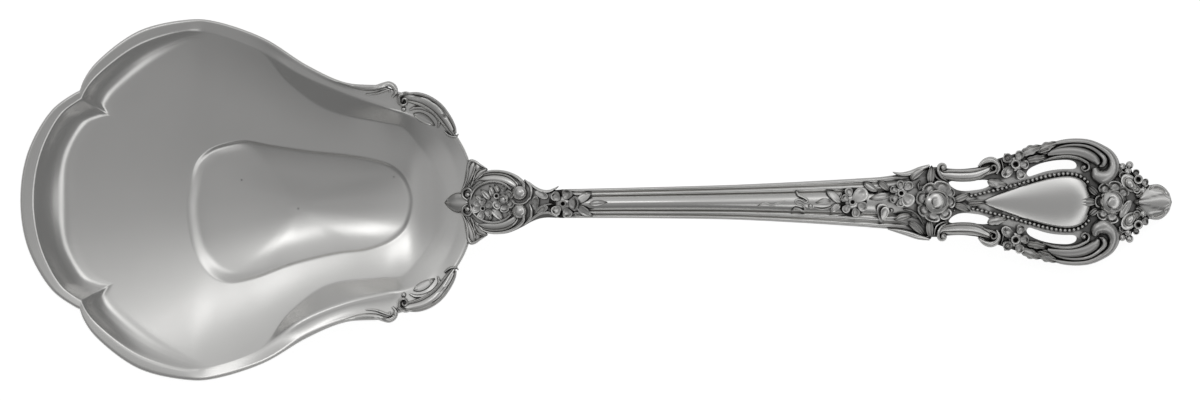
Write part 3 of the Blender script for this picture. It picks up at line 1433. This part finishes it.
# %% Rear scrolls
for side, name in both_sides:
    work = start_mesh()
    bar(
        work, handle_top,
        [
            (938.5, 168, 1.6), (941.5, 173.5, 3.4), (950, 175, 5.6), (962, 175.6, 6.2), (975, 174.6, 6),
            (985, 171, 4.6), (991, 167.5, 2.6),
        ],
        1.3, channel_section, side,
    )
    bar(
        work, handle_top,
        [(947, 181.3, 0.8), (940.5, 177, 1.6), (937.5, 171, 1.9)] + volute((942.3, 167.8), 4.6, 170, 0.9, 1.7),
        1.5, side=side,
    )
    berry(work, handle_top, (942.6, 167.4), 3.2, 1.5, side)
    bar(
        work, handle_top,
        [(978, 166.5, 0.8), (984, 161.8, 2.6), (991, 160, 3.3), (997, 163, 3), (999, 168.5, 2.4), (996.5, 174, 1.2)],
        1.35, side=side,
    )
    bar(
        work, handle_top,
        [(982, 176.2, 0.8), (988.5, 173.5, 1.5)] + volute((993, 168), 3.9, 60, -0.85, 1.5),
        1.6, side=side,
    )
    leaf(work, handle_top, (987, 181.5), (1007.5, 184.5), 11, 0.9, side, lobes=3, bend=0.8)
    bar(work, handle_top, [(1001, 159, 0.7), (1003, 166, 1.1), (1003.5, 174, 0.8)], 1.2, side=side)
    finish(work, "rear_scrolls_" + name, ["rear_scroll_" + name], "relief_silver")

# %% [markdown]
# ## Blossoms between the slots
#
# Each side has a blossom with a large pitted eye, one long petal towards the rear slot, and serrated leaves that run
# on along the rim.

# %% Side blossoms
for side, name in both_sides:
    work = start_mesh()
    blossom(
        work, handle_top, (1015.6, 164.2),
        [
            (1008.8, 170.4, 8, 4.8), (1019.4, 155.6, 4.6, 4.6), (1024, 164.6, 4.2, 4.4), (1020.5, 174.4, 4.6, 4.4),
            (1008.2, 158.8, 5, 5),
        ],
        5, 1.25, side,
    )
    for start, tip, width, lobes in (
        ((1020.5, 154.5), (1042.5, 145.5), 11, 3),
        ((1036.5, 151.5), (1058.5, 141.8), 10.5, 3),
        ((1026, 160.5), (1048, 156.8), 8.5, 3),
        ((1040, 153), (1052, 149.5), 6, 0),
    ):
        leaf(work, handle_top, start, tip, width, 1.05, side, lobes=lobes)
    leaf(work, handle_top, (1010, 160), (1004.5, 153.5), 6, 0.9, side)
    finish(work, "slot_blossom_" + name, ["side_blossom_" + name], "relief_silver")

# %% [markdown]
# ## Crown scrolls
#
# The bar outside each front slot is a bundle: a fat outer wire that winds round into a smooth boss, a ridge and a
# flat field inside it, and a thin rail on the slot's edge that ends in its own small volute.

# %% Crown scrolls
for side, name in both_sides:
    work = start_mesh()
    bar(
        work, handle_top,
        [
            (1052, 144.5, 1.2), (1062, 142, 2.2), (1076, 140.8, 2.5), (1090, 142.3, 2.8), (1102, 147.5, 3.4),
            (1111.5, 155, 4.4), (1115.5, 165, 5.6), (1112, 174, 7), (1104.5, 177.6, 8), (1098, 174.2, 6.4),
            (1095.5, 168, 3),
        ],
        1.9, side=side, steps=7, dull=0.25,
    )
    bar(
        work, handle_top,
        [
            (1053, 149.5, 0.7), (1064, 146, 1.4), (1078, 144.9, 1.7), (1090, 147, 2), (1100, 153, 2.4),
            (1105.5, 159.5, 3), (1104, 165, 2.4), (1100.5, 166.5, 1.2),
        ],
        1.7, side=side, dull=0.2,
    )
    bar(
        work, handle_top,
        [
            (1048, 153.5, 3), (1060, 151.4, 5.2), (1075, 151, 5.8), (1088, 154, 6), (1096.5, 159.2, 5.2),
            (1099.5, 164, 2.8),
        ],
        1.2, side=side, dull=0.4,
    )
    bar(
        work, handle_top,
        [(1043, 160.8, 0.8), (1054, 157.6, 1.5), (1067, 156.2, 1.8), (1078, 157.8, 1.8), (1086.5, 161.8, 1.8)]
        + volute((1085.5, 167.2), 5, -50, 0.95, 1.6),
        1.3, side=side,
    )
    berry(work, handle_top, (1084.8, 167), 2.4, 1.3, side)
    finish(work, "crown_scrolls_" + name, ["crown_scroll_" + name], "relief_silver")

# %% [markdown]
# ## Crown rose
#
# The largest rose sits in the middle of the crown, with three small leaves on the end of the teardrop.

# %% Crown rose
work = start_mesh()
rose(
    work, handle_top, (1113.8, 202), 12,
    [
        (1105, 188.5, 4.5, 5.5), (1116, 186.2, 4.5, 7), (1125, 192, 4.2, 5.5), (1100.5, 201.5, 4.2, 6),
        (1103.5, 214.5, 4.5, 5.5), (1112.5, 218.5, 4.2, 7),
    ],
    1.7, twist=60,
)
petal(work, handle_top, (1126.5, 208.8), (1, -1.7), 10.5, 3.8, 1.5, cup=0.25, narrow=0)
for start, tip, width in (
    ((1097, 202), (1078.5, 202), 9), ((1098.5, 195), (1088.5, 185.5), 7), ((1098.5, 209), (1089.5, 216), 7),
):
    leaf(work, handle_top, start, tip, width, 0.9, lift=0.55, hollow=0.8)
finish(work, "crown_rose_flower", ["crown_rose"], "relief_silver")

# %% [markdown]
# ## Crown blossoms
#
# Between the crown rose and the tip, each side has a fat bud, a small ring-shaped blossom and a few berries.

# %% Crown blossoms
for side, name in both_sides:
    work = start_mesh()
    petal(work, handle_top, (1130.5, 183), (-0.65, -0.8), 10.5, 7.6, 1.1, side, cup=0.4, narrow=0.1)
    berry(work, handle_top, (1132, 184), 5.4, 1.75, side, stretch=1.4, heading=(0.65, 0.8), sides=18, rings=12)
    eye(work, handle_top, (1139.6, 179.3), 4.8, 1.5, side)
    for centre, heading, length, width in (
        ((1146.5, 182.5), (1, 0.2), 3.6, 5), ((1137.5, 172.6), (0.1, -1), 3.6, 4),
        ((1138, 189), (0.3, 1), 4.4, 4.6), ((1124.5, 175.5), (-0.8, -0.6), 4.2, 4.6),
    ):
        petal(work, handle_top, centre, heading, length, width, 1, side)
    leaf(work, handle_top, (1137, 197.5), (1147.5, 188.5), 6, 0.9, side)
    leaf(work, handle_top, (1122.5, 178), (1119.5, 165), 6.5, 0.9, side)
    for column, row, radius, rise in (
        (1131, 165, 3.9, 1.15), (1129.3, 171.3, 4.2, 1.25), (1123.8, 166.5, 3.6, 1), (1144.3, 190, 4.2, 1.2),
    ):
        berry(work, handle_top, (column, row), radius, rise, side)
    berry(work, handle_top, (1138.3, 195.4), 1.7, 0.9, side)
    finish(work, "corner_blossom_" + name, ["crown_blossom_" + name], "relief_silver")

# %% [markdown]
# ## Teardrop panel
#
# The panel is a plain cushion of silver. A grid is stretched over its outline, raised in the middle and turned down
# along its edge. The same tool makes the tip later, with a shape of its own.

# %% Teardrop panel
thinnest = 0.4


def cushion(mesh, start, end, steps, width, shape):
    """A grid stretched over an outline. The shape gives the height and the tarnish of a place on its top."""
    lower, upper = doubled_grid(mesh, *steps)
    layer = mesh.verts.layers.float["tarnish"]
    for point in lower + list(upper):
        along, across = math.sin(point.co.x * math.pi / 2), math.sin(point.co.y * math.pi / 2)
        column = (start + end) / 2 + (end - start) / 2 * along
        half = max(width(column), thinnest)
        row = axis_row - across * half
        height, tarnish = shape(column, row, along, across, half) if point in upper else (-sink, 1)
        put(point, handle_top, column, row, height, 1)
        point[layer] = tarnish


panel_width = table(
    [
        (983, 0), (986, 2.8), (990, 4.8), (998, 8), (1010, 12.2), (1024, 16.7), (1040, 21.5), (1054, 24.8),
        (1064, 26.2), (1072, 26.2), (1079, 24.4), (1084.5, 21), (1088, 16.6), (1090.6, 10), (1091.6, 0),
    ]
)
panel_start, panel_end = 983, 1091.6
panel_rise = 0.5
panel_crown = 0.9


def panel_shape(column, row, along, across, half):
    end = min(column - panel_start, panel_end - column) / 40
    edge = min(soft_step(0, 0.8 / half, 1 - abs(across)), soft_step(-0.01, 0.02, end))
    crown = (1 - across**2) * min(half / 26, 1) ** 0.8
    return panel_rise * (0.4 + 0.6 * edge) + panel_crown * crown, 0.8 * (1 - edge)


work = start_mesh()
cushion(work, panel_start, panel_end, (48, 20), panel_width, panel_shape)
finish(work, "panel", ["teardrop_panel"], "polished_silver")

# %% [markdown]
# ## Bead border
#
# Each bead is a small dome, set at even distances along the line round the panel.

# %% Bead border
bead_pitch = 4.55
bead_radius = 2.1
last_bead_column = 1090
work = start_mesh()
travelled = 0
next_bead = 0
beads = 0
for before, after in zip(bead_line[:-1], bead_line[1:]):
    step = (after - before).length
    while next_bead <= travelled + step:
        at = before.lerp(after, (next_bead - travelled) / step)
        if at.x < last_bead_column:
            berry(work, handle_top, (at.x, at.y), bead_radius, 0.75, sides=10, rings=6)
            beads += 1
        next_bead += bead_pitch
    travelled += step
print("beads:", beads)
finish(work, "beads", ["bead_border"], "polished_silver")

# %% [markdown]
# ## Finial
#
# The tip is a small shell with a raised tongue along its middle, a leaf towards the rose and a curl on each side.

# %% Finial
finial_width = table(
    [
        (1138, 0), (1140, 3), (1143, 8), (1146, 12.6), (1149.6, 16), (1155, 17.6), (1159.3, 17.8), (1163, 16.6),
        (1166.6, 14), (1169.5, 10.6), (1171.6, 7), (1173.2, 0),
    ]
)


def finial_shape(column, row, along, across, half):
    edge = min(soft_step(0, 1.2 / half, 1 - abs(across)), soft_step(0, 0.12, 1 - abs(along)))
    away = abs(row - axis_row)
    tongue = 2 + 4.5 * soft_step(1140, 1166, column)
    ridge = 1 - soft_step(tongue * 0.5, tongue * 1.3, away)
    cut = (1 - soft_step(0, 1.6, abs(away - tongue * 1.2))) * (1 - soft_step(1163, 1170, column))
    height = 0.45 + 0.85 * edge * (1 - across**2) ** 0.6 + (0.22 * ridge - 0.1 * cut) * edge
    return height, max(0.8 * (1 - edge), 0.7 * cut)


work = start_mesh()
cushion(work, 1138, 1173.2, (36, 28), finial_width, finial_shape)
for side in (1, -1):
    bar(
        work, handle_top,
        [
            (1150, 194, 0.7), (1151.5, 189, 1.4), (1156, 186, 1.8), (1162, 187.4, 1.9), (1166, 191.6, 1.7),
            (1164.5, 195.2, 1.3), (1161, 194.4, 0.8),
        ],
        1.35, side=side,
    )
leaf(work, handle_top, (1152, 202.2), (1134.5, 202.2), 8.5, 1.3)
finish(work, "tip_shell", ["finial"], "polished_silver")

# %% [markdown]
# ## Hand over
#
# The box of the finished spoon is set beside the CAD model's box, and the frame writes its table.

# %% Finish
view = scene.view_settings
view.view_transform = "Standard"
